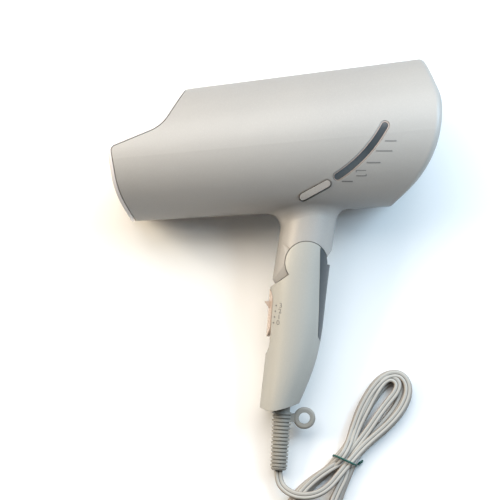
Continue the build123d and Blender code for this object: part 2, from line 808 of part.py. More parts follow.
def plug_body():
    collar = loft([plug_section(46.5, 3.6, 3.2), plug_section(56.5, 5.6, 4.8)])
    body = loft([plug_section(56.5, 9.5, 6.0), plug_section(64.0, 12.0, 7.4), plug_section(77.0, 11.4, 7.2)])
    return collar + body


def plug_blades():
    blades = []
    for side in (-1, 1):
        blade = Pos(85.5, PLUG_CENTRE_Y + side * 6.35, PLUG_CENTRE_Z) * Box(17.0, 1.5, 6.3)
        hole = Pos(91.0, PLUG_CENTRE_Y, PLUG_CENTRE_Z) * Rot(90, 0, 0) * Cylinder(1.6, 40)
        blades.append(blade - hole)
    return Compound(blades)


# ---------------------------------------------------------------- write the nodes
NODES = {}
NODES["housing_left"], NODES["housing_right"] = halves(housing())
NODES["handle_left"], NODES["handle_right"] = halves(handle())
NODES["front_panel"] = front_panel()
NODES["outlet_collar"] = outlet_collar()
NODES["outlet_grille"] = outlet_grille()
NODES["mist_outlet"] = mist_outlet()
NODES["mist_generator"] = mist_generator()
NODES["mist_electrodes"] = mist_electrodes()
NODES["heater_sleeve"] = sleeve_body() - sleeve_body(1.2)
NODES["heater_boards"] = heater_boards()
NODES["heater_coils"] = Compound(coil_rings(WIRE_R))
NODES["thermostat"] = thermostat()
NODES["thermal_fuse"] = thermal_fuse()
NODES["fan_duct"] = fan_duct()
NODES["motor_mount"] = motor_mount()
NODES["motor"] = motor()
NODES["motor_shaft"] = barrel_rod(1.59, -4, 52)
NODES["fan"] = fan()
NODES["intake_grille"] = intake_grille()
NODES["intake_filter"] = intake_filter()
NODES["filter_ring"] = filter_ring()
NODES["control_board"] = control_board()
NODES["indicator_leds"] = indicator_leds()
NODES["light_guide"] = light_guide()
NODES["indicator_window"] = indicator_window()
NODES["window_rim"] = window_rim()
NODES["mode_button"] = mode_button()
NODES["button_switch"] = button_switch()
NODES["button_spring"] = button_spring()
NODES["housing_screws"] = Compound([screw(*item) for item in HOUSING_SCREWS])
NODES["handle_screws"] = Compound([screw(*item) for item in HANDLE_SCREWS])
NODES["detent_balls"] = detent_balls()
NODES["detent_springs"] = detent_springs()
NODES["grip_strip"] = grip_strip()
NODES["hinge_pins"] = hinge_pins()
NODES["slide_recess"] = slide_recess()
NODES["slide_button"] = slide_button()
NODES["slide_carrier"] = slide_carrier()
NODES["switch_block"] = switch_block()
NODES["strain_relief"] = strain_relief()
NODES["cord_clamp"] = cord_clamp()
NODES["handle_wires"] = handle_wires()

LAID = {name: PLACE * shape for name, shape in NODES.items()}
own_boxes = [shape.bounding_box() for shape in LAID.values()]
own_low = [min(tuple(box.min)[i] for box in own_boxes) for i in range(3)]
own_high = [max(tuple(box.max)[i] for box in own_boxes) for i in range(3)]
print("own box low", own_low, "high", own_high)

LAID["cord_lead"] = cord_tube([tuple(CORD_EXIT)] + LEAD_POINTS, "cord_lead")
LAID["cord_tail"] = cord_tube(TAIL_POINTS, "cord_tail")
LAID["cord_hank"] = cord_hank()
LAID["wire_tie"] = wire_tie()
LAID["plug_body"] = plug_body()
LAID["plug_blades"] = plug_blades()

for name, shape in LAID.items():
    export_step(shape, f"parts/{name}.step")

print("hinge", (PLACE * Pos(0, 0, 0)).position, "hinge axis", PLACE.orientation)
print("cord exit", CORD_EXIT)
for name in ("housing_right", "handle_right", "strain_relief"):
    print(name, "lowest z", round(LAID[name].bounding_box().min.Z, 3))
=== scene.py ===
# %% [markdown]
# # A folding hair dryer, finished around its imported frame
# The dryer lies on its right side on a pale floor: the barrel with its stepped mist front, the
# folding handle, the ribbed strain relief, and a flat twin cord that is tied in a hank.
# The mechanical shapes come from the frame.  This lesson adds what the frame leaves plain: the
# flat cord at its real length, the wire tie, the printed marks, and a finish for every part.

# %% Load the frame
import json
from math import cos, pi, radians, sin

import bmesh
import bpy
from mathutils import Matrix, Vector
from mathutils.bvhtree import BVHTree


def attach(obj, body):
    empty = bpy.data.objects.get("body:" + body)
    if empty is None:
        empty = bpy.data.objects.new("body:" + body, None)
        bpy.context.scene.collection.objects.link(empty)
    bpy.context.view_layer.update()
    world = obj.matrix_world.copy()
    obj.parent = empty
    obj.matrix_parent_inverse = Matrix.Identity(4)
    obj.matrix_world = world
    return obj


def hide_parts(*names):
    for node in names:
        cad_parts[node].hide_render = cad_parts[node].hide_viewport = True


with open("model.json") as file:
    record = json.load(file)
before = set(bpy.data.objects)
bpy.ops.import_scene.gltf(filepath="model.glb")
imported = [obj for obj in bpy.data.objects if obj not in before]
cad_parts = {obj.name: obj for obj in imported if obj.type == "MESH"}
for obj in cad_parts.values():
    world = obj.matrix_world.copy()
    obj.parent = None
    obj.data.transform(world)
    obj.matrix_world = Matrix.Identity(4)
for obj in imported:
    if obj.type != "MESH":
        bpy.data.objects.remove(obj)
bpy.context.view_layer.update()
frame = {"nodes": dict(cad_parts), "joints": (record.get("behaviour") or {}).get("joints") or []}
nodes = frame["nodes"]
MM = 0.001

# %% [markdown]
# ## The dryer's own directions
# The fold's pin stands square to the dryer's side, so its joint gives the side's direction.  From
# it come the three directions that every mark is placed in: *aft* along the barrel towards the
# intake, *high* from the handle to the barrel, and *side* out of the side with the window.

# %% Directions from the hinge
joints = {joint["name"]: joint for joint in frame["joints"]}
HINGE = Vector(joints["handle_fold"]["pos_m"])
SIDE = -Vector(joints["handle_fold"]["axis"]).normalized()
AFT = Vector((1, 0, 0))
HIGH = SIDE.cross(AFT)


def at(aft, high, side=0.0):
    """A place in the dryer's own directions, in millimetres from the hinge."""
    return HINGE + (AFT * aft + HIGH * high + SIDE * side) * MM


print("side", [round(x, 3) for x in SIDE], "high", [round(x, 3) for x in HIGH])

# %% [markdown]
# ## Camera first
# The camera looks square at the side with the window.  It is turned a few degrees, so that the
# barrel rises to the right.  It comes first because the cord is judged by what it sees.

# %% Camera
CAMERA_TURN = radians(4.9)
CAMERA_DISTANCE = 2.4
VIEW_WIDTH = 0.3275
SENSOR = 36.0
camera_right = AFT * cos(CAMERA_TURN) - HIGH * sin(CAMERA_TURN)
camera_up = AFT * sin(CAMERA_TURN) + HIGH * cos(CAMERA_TURN)
camera_aim = at(-35.9, 11.4)
camera_data = bpy.data.cameras.new("camera")
camera_data.sensor_width = SENSOR
camera_data.lens = SENSOR * CAMERA_DISTANCE / VIEW_WIDTH
camera_data.clip_start = 0.01
camera = bpy.data.objects.new("camera", camera_data)
bpy.context.scene.collection.objects.link(camera)
turned = Matrix((camera_right, camera_up, SIDE)).transposed()
camera.matrix_world = Matrix.Translation(camera_aim + SIDE * CAMERA_DISTANCE) @ turned.to_4x4()
bpy.context.scene.camera = camera
print("lens", round(camera_data.lens, 1), "mm")

# %% [markdown]
# ## How a finish is built
# Moulded plastic is never one flat colour.  The pigment drifts slowly over a part, a fine grain
# breaks the gloss, and a paint with pearl in it adds flakes far too small to see singly.
# One function builds that: a slow drift of two colours, a fine grain in colour, roughness and
# bump, and constants for the coat.  All patterns read Object coordinates, which stay with a part.

# %% Shader helpers
def link(tree, source, target):
    tree.links.new(source, target)


def shader(name):
    """A new material: its tree, its Principled shader and the Object coordinates."""
    material = bpy.data.materials.new(name)
    material.use_nodes = True
    tree = material.node_tree
    place = tree.nodes.new("ShaderNodeTexCoord").outputs["Object"]
    return material, tree, tree.nodes["Principled BSDF"], place


def noise(tree, place, scale, detail=3.0):
    node = tree.nodes.new("ShaderNodeTexNoise")
    node.inputs["Scale"].default_value = scale
    node.inputs["Detail"].default_value = detail
    link(tree, place, node.inputs["Vector"])
    return node.outputs["Fac"]


def stretched(tree, factor, low, high, to_low=0.0, to_high=1.0):
    """The factor's range from low to high, spread from to_low to to_high."""
    node = tree.nodes.new("ShaderNodeMapRange")
    for name, value in (("From Min", low), ("From Max", high), ("To Min", to_low), ("To Max", to_high)):
        node.inputs[name].default_value = value
    link(tree, factor, node.inputs["Value"])
    return node.outputs["Result"]


def mixed(tree, factor, first, second):
    """Two colours mixed by a factor; a Mix node's colour sockets are 6 and 7, its result 2."""
    node = tree.nodes.new("ShaderNodeMix")
    node.data_type = "RGBA"
    link(tree, factor, node.inputs[0])
    for socket, colour in ((node.inputs[6], first), (node.inputs[7], second)):
        if isinstance(colour, tuple):
            socket.default_value = (*colour, 1.0)
        else:
            link(tree, colour, socket)
    return node.outputs[2]


def bumped(tree, principled, height, strength, distance):
    node = tree.nodes.new("ShaderNodeBump")
    node.inputs["Strength"].default_value = strength
    node.inputs["Distance"].default_value = distance
    link(tree, height, node.inputs["Height"])
    link(tree, node.outputs["Normal"], principled.inputs["Normal"])
    return node


def rounded_edges(tree, bump, radius):
    """Light catches the edges as if they were rounded to the radius."""
    node = tree.nodes.new("ShaderNodeBevel")
    node.samples = 6
    node.inputs["Radius"].default_value = radius
    link(tree, node.outputs["Normal"], bump.inputs["Normal"])


def plastic(name, colour, drift, rough=0.35, grain=900.0, grain_depth=0.00002, coat=0.0, edge=0.0003):
    """Moulded plastic: a slow drift between two colours, and a fine grain in gloss and bump."""
    material, tree, principled, place = shader(name)
    slow = stretched(tree, noise(tree, place, 22.0), 0.35, 0.65)
    fine = noise(tree, place, grain, 2.0)
    tone = mixed(tree, slow, colour, drift)
    dark = tuple(0.95 * c for c in colour)
    speck = stretched(tree, fine, 0.30, 0.42, 0.4, 0.0)
    link(tree, mixed(tree, speck, tone, dark), principled.inputs["Base Color"])
    gloss = stretched(tree, fine, 0.3, 0.7, rough - 0.05, rough + 0.06)
    link(tree, gloss, principled.inputs["Roughness"])
    principled.inputs["Coat Weight"].default_value = coat
    principled.inputs["Coat Roughness"].default_value = 0.12
    bump = bumped(tree, principled, fine, 0.25, grain_depth)
    rounded_edges(tree, bump, edge)
    return material


print("shader helpers ready")

# %% [markdown]
# ## The pearl paint of the housing
# The barrel wears a warm silver-beige paint with pearl flakes.  Painted shade darkens it towards
# its outline, where the surface turns away from the camera, so the underside edge looks shaded.
# A sprinkle of tiny bright cells stands for the flakes, a little metallic base gives the silky
# depth, and a thin clear coat keeps the broad highlight soft.

# %% Pearl paint
def pearl_paint(name, colour, drift, painted_edge_shade, flake=2600.0):
    material, tree, principled, place = shader(name)
    slow = stretched(tree, noise(tree, place, 14.0), 0.35, 0.65)
    tone = mixed(tree, slow, colour, drift)
    cells = tree.nodes.new("ShaderNodeTexVoronoi")
    cells.inputs["Scale"].default_value = flake
    link(tree, place, cells.inputs["Vector"])
    sparkle = stretched(tree, cells.outputs["Color"], 0.55, 0.95, 0.0, 0.4)
    bright = tuple(min(1.0, 1.14 * c) for c in colour)
    tone = mixed(tree, sparkle, tone, bright)
    # Painted shade: towards the outline, where the surface turns from the camera, the colour goes to the dark
    # edge-shade colour.
    facing = tree.nodes.new("ShaderNodeLayerWeight")
    facing.inputs["Blend"].default_value = 0.35
    rim = stretched(tree, facing.outputs["Facing"], 0.25, 0.95, 0.0, 0.7)
    link(tree, mixed(tree, rim, tone, painted_edge_shade), principled.inputs["Base Color"])
    gloss = stretched(tree, noise(tree, place, 700.0, 2.0), 0.3, 0.7, 0.46, 0.54)
    link(tree, gloss, principled.inputs["Roughness"])
    principled.inputs["Metallic"].default_value = 0.08
    principled.inputs["Coat Weight"].default_value = 0.10
    principled.inputs["Coat Roughness"].default_value = 0.22
    bump = bumped(tree, principled, noise(tree, place, 1500.0, 2.0), 0.06, 0.00001)
    rounded_edges(tree, bump, 0.0004)
    return material


# The third colour of each paint is its painted edge shade.
housing_paint = pearl_paint(
    "pearl_paint", (0.385, 0.366, 0.345), (0.362, 0.347, 0.331), (0.20, 0.195, 0.19)
)
handle_paint = pearl_paint(
    "handle_paint", (0.41, 0.400, 0.365), (0.388, 0.380, 0.350), (0.24, 0.23, 0.215), 3200.0
)
print("pearl paints:", housing_paint.name, handle_paint.name)

# %% [markdown]
# ## The other finishes
# Each visible part gets its own plastic: a glossy pale front, a heat-proof dark outlet, a
# smoked window, a beige button, a slate strip on the back of the grip, and soft grey-beige
# rubber for the strain relief.  Parts inside keep plainer but still real finishes.

# %% Plastics, rubbers and metals
front_gloss = plastic("front_gloss", (0.66, 0.61, 0.59), (0.62, 0.58, 0.565), 0.22, coat=0.5)
outlet_black = plastic("outlet_black", (0.035, 0.035, 0.038), (0.05, 0.05, 0.052), 0.42, 600.0)
mist_grey = plastic("mist_grey", (0.28, 0.31, 0.34), (0.24, 0.27, 0.30), 0.25, coat=0.5)
window_smoke = plastic("window_smoke", (0.050, 0.060, 0.068), (0.095, 0.110, 0.122), 0.20, coat=0.35)
rim_rose = plastic("rim_rose", (0.46, 0.37, 0.33), (0.42, 0.345, 0.31), 0.25, coat=0.5)
button_rose = plastic("button_rose", (0.58, 0.53, 0.48), (0.54, 0.49, 0.45), 0.30, coat=0.4)
strip_slate = plastic("strip_slate", (0.075, 0.085, 0.092), (0.060, 0.068, 0.074), 0.42, 500.0)
recess_gloss = plastic("recess_gloss", (0.60, 0.55, 0.48), (0.52, 0.46, 0.38), 0.12, coat=0.8)
slide_gloss = plastic("slide_gloss", (0.50, 0.39, 0.32), (0.46, 0.365, 0.30), 0.28, coat=0.4)
relief_rubber = plastic("relief_rubber", (0.31, 0.30, 0.27), (0.28, 0.27, 0.245), 0.55, 700.0, 0.00004)
inside_dark = plastic("inside_dark", (0.05, 0.05, 0.055), (0.07, 0.07, 0.075), 0.5)
inside_pale = plastic("inside_pale", (0.55, 0.53, 0.47), (0.48, 0.46, 0.41), 0.6, 300.0)
grille_grey = plastic("grille_grey", (0.16, 0.165, 0.175), (0.13, 0.135, 0.145), 0.4)
board_green = plastic("board_green", (0.03, 0.13, 0.05), (0.02, 0.09, 0.04), 0.3, 400.0, coat=0.4)
lamp_clear = plastic("lamp_clear", (0.75, 0.68, 0.45), (0.65, 0.6, 0.42), 0.12, coat=0.8)
mark_grey = plastic("mark_grey", (0.20, 0.195, 0.19), (0.16, 0.155, 0.15), 0.45, 1500.0)
plug_plastic = plastic("plug_plastic", (0.38, 0.365, 0.325), (0.34, 0.33, 0.295), 0.45, 600.0, 0.00003)
tie_green = plastic("tie_green", (0.004, 0.060, 0.046), (0.006, 0.085, 0.066), 0.42, 900.0)


def metal(name, colour, rough, stretch=(1.0, 1.0, 1.0)):
    """Bare metal with fine brushing, drawn out along one direction by the stretch."""
    material, tree, principled, place = shader(name)
    mapping = tree.nodes.new("ShaderNodeMapping")
    mapping.inputs["Scale"].default_value = stretch
    link(tree, place, mapping.inputs["Vector"])
    streak = noise(tree, mapping.outputs["Vector"], 500.0)
    dark = tuple(0.7 * c for c in colour)
    tone = mixed(tree, stretched(tree, streak, 0.35, 0.65), dark, colour)
    link(tree, tone, principled.inputs["Base Color"])
    gloss = stretched(tree, streak, 0.3, 0.7, rough - 0.06, rough + 0.1)
    link(tree, gloss, principled.inputs["Roughness"])
    principled.inputs["Metallic"].default_value = 1.0
    bumped(tree, principled, streak, 0.15, 0.00001)
    return material


steel = metal("steel", (0.52, 0.52, 0.53), 0.28, (0.15, 1.0, 1.0))
heater_wire = metal("heater_wire", (0.42, 0.36, 0.32), 0.4)
brass_plate = metal("brass_plate", (0.80, 0.74, 0.58), 0.22, (0.1, 1.0, 1.0))
mica = plastic("mica", (0.42, 0.36, 0.26), (0.50, 0.45, 0.35), 0.4, 160.0)
filter_weave = plastic("filter_weave", (0.05, 0.05, 0.055), (0.08, 0.08, 0.085), 0.6, 1200.0)
print(len(bpy.data.materials), "materials")

# %% Which part wears which finish
FINISHES = {
    housing_paint: ["housing_left", "housing_right"],
    handle_paint: ["handle_left", "handle_right"],
    front_gloss: ["front_panel"],
    outlet_black: ["outlet_collar", "outlet_grille", "fan"],
    mist_grey: ["mist_outlet"],
    window_smoke: ["indicator_window"],
    rim_rose: ["window_rim"],
    button_rose: ["mode_button"],
    strip_slate: ["grip_strip"],
    recess_gloss: ["slide_recess"],
    slide_gloss: ["slide_button"],
    relief_rubber: ["strain_relief", "handle_wires"],
    inside_dark: [
        "hinge_pins", "slide_carrier", "switch_block", "cord_clamp", "button_switch", "fan_duct",
        "motor_mount",
    ],
    inside_pale: ["mist_generator"],
    grille_grey: ["intake_grille", "filter_ring"],
    filter_weave: ["intake_filter"],
    board_green: ["control_board"],
    lamp_clear: ["indicator_leds", "light_guide"],
    mica: ["heater_sleeve", "heater_boards"],
    heater_wire: ["heater_coils"],
    steel: [
        "motor", "motor_shaft", "mist_electrodes", "thermostat", "thermal_fuse", "button_spring",
        "housing_screws", "handle_screws", "detent_balls", "detent_springs",
    ],
    plug_plastic: ["plug_body"],
    brass_plate: ["plug_blades"],
}


def wear(piece, material):
    """The piece's only material."""
    piece.data.materials.clear()
    piece.data.materials.append(material)


for material, names in FINISHES.items():
    for name in names:
        wear(nodes[name], material)
finished = {name for names in FINISHES.values() for name in names}
print("still plain:", sorted(set(nodes) - finished))

# %% [markdown]
# ## The cord: one line for its whole length
# The cord is a limp flat twin lead.  It leaves the strain relief, makes a U turn over the hank's
# lower turns, goes through the tie, and is wound up and down in a long hank.  It could be swept
# turn by turn, but a real cord has one length, so its whole route is one smooth spline.
# The turns come from two outlines, one above the tie and one below it, drawn in the tie's own
# directions.  Each turn is inset, lifted and swung a little differently, because loose turns
# never lie alike, and one turn has an outline of its own that crosses the open loop.

# %% The cord's sizes and the tie's directions
CORD_WIDTH = 0.0053
LOBE_R = 0.00135
TIE_CENTRE = Vector((27.7, -124.8))
TIE_HEADING = radians(61.8)
tie_along = Vector((cos(TIE_HEADING), sin(TIE_HEADING)))
tie_left = Vector((-sin(TIE_HEADING), cos(TIE_HEADING)))

LEAD = [
    (-16.4, -127.9, 6.99), (-17.2, -134.4, 5.7), (-13.4, -141.2, 7.2), (-6.4, -145.8, 9.0),
    (2.0, -147.0, 9.8), (10.2, -145.2, 9.6), (17.4, -140.2, 8.8), (22.4, -134.8, 8.3),
]
TAIL = [
    (4.0, -183.5, 2.0), (9.0, -178.5, 2.3), (14.0, -175.6, 2.6), (23.5, -177.6, 2.8), (32.3, -177.2, 4.4),
    (40.0, -174.6, 6.6), (43.5, -173.2, 7.3), (46.5, -172.5, 7.6),
]


def in_tie(along, left, height):
    """A place in the tie's directions, in millimetres."""
    spot = TIE_CENTRE + tie_along * along + tie_left * left
    return Vector((spot.x, spot.y, height))


# %% The two outlines of a turn, along and to the left of the tie
UPPER = [
    (10, -6.5), (21, -11.5), (33, -17.6), (46, -21.6), (58, -21.2), (65.5, -16.0), (67.4, -8.2), (61.5, -0.6),
    (50, 3.2), (36, 4.6), (22, 3.6), (10, 2.0),
]
LOWER = [
    (-9, 7.6), (-20, 15.2), (-33, 21.2), (-47, 22.6), (-60, 17.8), (-67.5, 9.0), (-68.5, -1.5), (-62.0, -9.0),
    (-50, -10.6), (-36, -7.6), (-22, -5.6), (-9, -5.4),
]


CROSSING = [
    (12, -3.2), (24, -6.2), (36, -8.4), (46, -10.8), (54, -13.2), (60, -12.8), (62.4, -8.2), (60.0, -3.4),
    (50, -0.9), (36, 0.2), (22, 0.9), (10, 0.2),
]


def inset(outline, out, back, height, swing):
    """An outline drawn in on its way out and back, at a height, swung sideways at its far end."""
    made = []
    reach = max(abs(along) for along, _ in outline)
    for index, (along, left) in enumerate(outline):
        before = Vector(outline[max(index - 1, 0)])
        after = Vector(outline[min(index + 1, len(outline) - 1)])
        run = (after - before).normalized()
        amount = out + (back - out) * index / (len(outline) - 1)
        inward = Vector((-run.y, run.x)) * amount
        far = abs(along) / reach
        made.append((along + inward.x * far, left + inward.y * min(1.0, 1.6 * far) + swing * far, height))
    return made


# %% [markdown]
# Ten strands share the tie in three layers.  Each turn's row says where it goes up through the
# tie, how far its upper loop is drawn in and how high it lies, where it comes down through the
# tie, and the same for its lower loop.

# %% The route, turn by turn
# up (left, height), upper (outline, out, back, height, swing),
# down (left, height), lower (outline, out, back, height, swing)
TURNS = [
    ((-2.2, 8.4), (UPPER, 1.0, 0.8, 6.9, -0.6), (2.7, 8.5), (LOWER, 1.2, 1.2, 4.3, 0.5)),
    ((-5.0, 5.7), (UPPER, 0.0, 0.0, 1.5, 0.0), (5.2, 5.7), (LOWER, 0.0, 0.0, 1.5, 0.0)),
    ((-5.2, 2.9), (UPPER, 5.4, 0.4, 4.3, 0.2), (5.2, 2.9), (LOWER, 5.6, 5.6, 1.6, -0.6)),
    ((0.1, 2.9), (UPPER, 4.9, 4.9, 1.6, -0.3), (0.2, 5.7), (LOWER, 3.8, 3.8, 6.6, 0.8)),
    ((-0.4, 5.8), (CROSSING, 0.0, 0.0, 6.6, 0.0), (0.8, 2.9), (LOWER, 4.4, 4.4, 4.2, 0.0)),
]
LAST_LOWER_POINTS = 7

route = [Vector(point) for point in LEAD]
for number, (up, upper, down, lower) in enumerate(TURNS):
    last = number == len(TURNS) - 1
    if number > 0:
        route.append(in_tie(0.0, *up))
    route += [in_tie(*point) for point in inset(*upper)]
    route.append(in_tie(0.0, *down))
    round_below = [in_tie(*point) for point in inset(*lower)]
    route += round_below[:LAST_LOWER_POINTS] if last else round_below
route += [Vector(point) for point in TAIL]
route = [point * MM for point in route]


def mesh_of(piece):
    """The piece's evaluated shape as a plain mesh."""
    return bpy.data.meshes.new_from_object(piece.evaluated_get(bpy.context.evaluated_depsgraph_get()))


def smooth_line(name, points):
    """The points on a NURBS spline of order 3, read back from its own evaluated curve."""
    curve = bpy.data.curves.new(name, "CURVE")
    curve.dimensions = "3D"
    curve.resolution_u = 6
    spline = curve.splines.new("NURBS")
    spline.points.add(len(points) - 1)
    for point, place in zip(spline.points, points):
        point.co = (*place, 1.0)
    spline.order_u = 3
    spline.use_endpoint_u = True
    carrier = bpy.data.objects.new(name, curve)
    bpy.context.scene.collection.objects.link(carrier)
    bpy.context.view_layer.update()
    line = mesh_of(carrier)
    places = [vertex.co.copy() for vertex in line.vertices]
    bpy.data.objects.remove(carrier)
    bpy.data.meshes.remove(line)
    return places


cord_line = smooth_line("cord_line", route)
cord_long = sum((b - a).length for a, b in zip(cord_line, cord_line[1:]))
cord_low = min(place.z for place in cord_line)
print("cord:", len(route), "points,", round(cord_long, 3), "m, lowest", round(cord_low, 4))

# %% [markdown]
# ## The cord's flat twin section
# Two round cores lie side by side under one skin, with a groove between them.  The section is
# two lobes that meet in the groove.  It is kept flat to the ground along the whole line, and a
# UV map records how far across and along the cord each corner is, for the painted shade along
# the groove and under the lobes.

# %% Sweep the twin section
LOBE_OFFSET = CORD_WIDTH / 2 - LOBE_R
GROOVE_DEPTH = 0.55
LOBE_STEPS = 7


def twin_section():
    """Corners of the section: across and up, anticlockwise from the right lobe's underside."""
    corners = []
    for side, start in ((1, -110), (-1, 70)):
        for step in range(LOBE_STEPS):
            angle = radians(start + 220 * step / (LOBE_STEPS - 1))
            corners.append((side * LOBE_OFFSET + LOBE_R * cos(angle), LOBE_R * sin(angle)))
        corners.append((0.0, side * LOBE_R * GROOVE_DEPTH))
    return corners


def flat_sweep(name, line, section):
    """The section swept along the line, lying flat, with closed ends and a UV map."""
    mesh = bpy.data.meshes.new(name)
    built = bmesh.new()
    uv = built.loops.layers.uv.new("along")
    rings = []
    marks = []
    run = 0.0
    for index, place in enumerate(line):
        before = line[max(index - 1, 0)]
        after = line[min(index + 1, len(line) - 1)]
        ahead = (after - before).normalized()
        across = ahead.cross(Vector((0, 0, 1))).normalized()
        up = across.cross(ahead)
        rings.append([built.verts.new(place + across * x + up * y) for x, y in section])
        marks.append(run)
        run += (after - place).length
    count = len(section)
    for index in range(len(rings) - 1):
        for side in range(count):
            other = (side + 1) % count
            here, there = rings[index], rings[index + 1]
            face = built.faces.new((here[side], here[other], there[other], there[side]))
            face.smooth = True
            spots = ((side, index), (other, index), (other, index + 1), (side, index + 1))
            for loop, (which, ring) in zip(face.loops, spots):
                loop[uv].uv = (0.5 + section[which][0] / CORD_WIDTH, marks[ring])
    built.faces.new(list(reversed(rings[0])))
    built.faces.new(rings[-1])
    bmesh.ops.recalc_face_normals(built, faces=built.faces)
    built.to_mesh(mesh)
    built.free()
    piece = bpy.data.objects.new(name, mesh)
    bpy.context.scene.collection.objects.link(piece)
    return piece


cord = flat_sweep("flat_cord", cord_line, twin_section())
print("flat cord:", len(cord.data.polygons), "faces")

# %% [markdown]
# ## The cord's rubber
# The skin is grey-beige and a little satin.  Painted shade makes the groove's floor nearly
# black, and painted shade makes the flanks under the lobes browner than the tops.

# %% Rubber with painted shade in the groove and under the lobes
def cord_rubber():
    material, tree, principled, place = shader("cord_rubber")
    uv = tree.nodes.new("ShaderNodeUVMap")
    uv.uv_map = "along"
    parts = tree.nodes.new("ShaderNodeSeparateXYZ")
    link(tree, uv.outputs["UV"], parts.inputs["Vector"])
    centred = tree.nodes.new("ShaderNodeMath")
    centred.operation = "SUBTRACT"
    link(tree, parts.outputs["X"], centred.inputs[0])
    centred.inputs[1].default_value = 0.5
    off = tree.nodes.new("ShaderNodeMath")
    off.operation = "ABSOLUTE"
    link(tree, centred.outputs[0], off.inputs[0])
    # Painted shade: the groove's floor is darkened to nearly black.
    groove = stretched(tree, off.outputs[0], 0.0, 0.085, 1.0, 0.0)
    slow = stretched(tree, noise(tree, place, 30.0), 0.35, 0.65)
    skin = mixed(tree, slow, (0.44, 0.43, 0.40), (0.40, 0.385, 0.355))
    # Painted shade: the flanks under the lobes are darkened to brown.
    painted_flank_shade = stretched(tree, off.outputs[0], 0.34, 0.5, 0.0, 0.75)
    skin = mixed(tree, painted_flank_shade, skin, (0.20, 0.135, 0.095))
    link(tree, mixed(tree, groove, skin, (0.05, 0.042, 0.036)), principled.inputs["Base Color"])
    fine = noise(tree, place, 900.0, 2.0)
    link(tree, stretched(tree, fine, 0.3, 0.7, 0.36, 0.5), principled.inputs["Roughness"])
    bumped(tree, principled, fine, 0.2, 0.00003)
    return material


wear(cord, cord_rubber())
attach(cord, "handle")
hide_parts("cord_lead", "cord_hank", "cord_tail")

# %% [markdown]
# ## Tubes that follow a path
# The wire tie is a thin round wire that is laid round the neck of the hank and twisted at its
# ends.  Geometry Nodes suit it: a tree takes a path, resamples it evenly, sweeps a circle along
# it and sets the material.  The same tree sweeps the tie's loop and both of its twisted ends.

# %% A tree that sweeps a wire
def add_inputs(tree, sockets):
    """Named input sockets on a tree, each a name and the kind of its value."""
    for name, kind in sockets:
        tree.interface.new_socket(name=name, in_out="INPUT", socket_type="NodeSocket" + kind)


def wire_tree():
    tree = bpy.data.node_groups.new("wire_along_path", "GeometryNodeTree")
    add_inputs(tree, (
        ("Path", "Geometry"), ("Radius", "Float"), ("Spacing", "Float"), ("Finish", "Material"),
    ))
    tree.interface.new_socket(name="Wire", in_out="OUTPUT", socket_type="NodeSocketGeometry")
    source = tree.nodes.new("NodeGroupInput")
    resample = tree.nodes.new("GeometryNodeResampleCurve")
    resample.mode = "LENGTH"
    circle = tree.nodes.new("GeometryNodeCurvePrimitiveCircle")
    circle.inputs["Resolution"].default_value = 12
    sweep = tree.nodes.new("GeometryNodeCurveToMesh")
    sweep.inputs["Fill Caps"].default_value = True
    finish = tree.nodes.new("GeometryNodeSetMaterial")
    realize = tree.nodes.new("GeometryNodeRealizeInstances")
    target = tree.nodes.new("NodeGroupOutput")
    link(tree, source.outputs["Path"], resample.inputs["Curve"])
    link(tree, source.outputs["Spacing"], resample.inputs["Length"])
    link(tree, resample.outputs["Curve"], sweep.inputs["Curve"])
    link(tree, source.outputs["Radius"], circle.inputs["Radius"])
    link(tree, circle.outputs["Curve"], sweep.inputs["Profile Curve"])
    link(tree, sweep.outputs["Mesh"], realize.inputs["Geometry"])
    link(tree, realize.outputs["Geometry"], finish.inputs["Geometry"])
    link(tree, source.outputs["Finish"], finish.inputs["Material"])
    link(tree, finish.outputs["Geometry"], target.inputs["Wire"])
    return tree


def run_tree(name, base, tree, settings):
    """The tree's result on a base object as a plain mesh object; the base is removed."""
    modifier = base.modifiers.new("tree", "NODES")
    modifier.node_group = tree
    for socket in tree.interface.items_tree:
        if socket.in_out == "INPUT" and socket.name in settings:
            modifier[socket.identifier] = settings[socket.name]
    bpy.context.view_layer.update()
    made = mesh_of(base)
    made.name = name
    bpy.data.objects.remove(base)
    piece = bpy.data.objects.new(name, made)
    bpy.context.scene.collection.objects.link(piece)
    for face in made.polygons:
        face.use_smooth = True
    return piece


def path_object(name, points, closed=False):
    """A curve object whose spline goes straight from point to point."""
    curve = bpy.data.curves.new(name, "CURVE")
    curve.dimensions = "3D"
    spline = curve.splines.new("POLY")
    spline.points.add(len(points) - 1)
    for point, place in zip(spline.points, points):
        point.co = (*place, 1.0)
    spline.use_cyclic_u = closed
    carrier = bpy.data.objects.new(name, curve)
    bpy.context.scene.collection.objects.link(carrier)
    return carrier


WIRE_TREE = wire_tree()

# %% The wire tie round the hank's neck
TIE_R = 0.00065
TIE_HALF_WIDTH = 8.3
TIE_MIDDLE = 5.4
TIE_HALF_HEIGHT = 5.3
TWIST_TURNS = 1.5
TWIST_LENGTH = 3.6
TWIST_R = 0.66
TWIST_STEPS = 40
OBLONG = 3.2  # how square the loop's corners are: 2 would be an ellipse
WIRE_SPACING = 0.0006
FLOOR_CLEAR = 0.75


def tie_loop(steps=48):
    """A rounded oblong round the strands, leaning a little along them."""
    points = []
    for step in range(steps + 1):
        angle = 2 * pi * step / steps + pi
        across, up = cos(angle), sin(angle)
        stretch = (abs(across) ** OBLONG + abs(up) ** OBLONG) ** (-1 / OBLONG)
        left = TIE_HALF_WIDTH * across * stretch
        height = TIE_MIDDLE + TIE_HALF_HEIGHT * up * stretch
        points.append(in_tie(0.9 * cos(angle / 2) + 0.06 * left, left, max(height, FLOOR_CLEAR)) * MM)
    return points


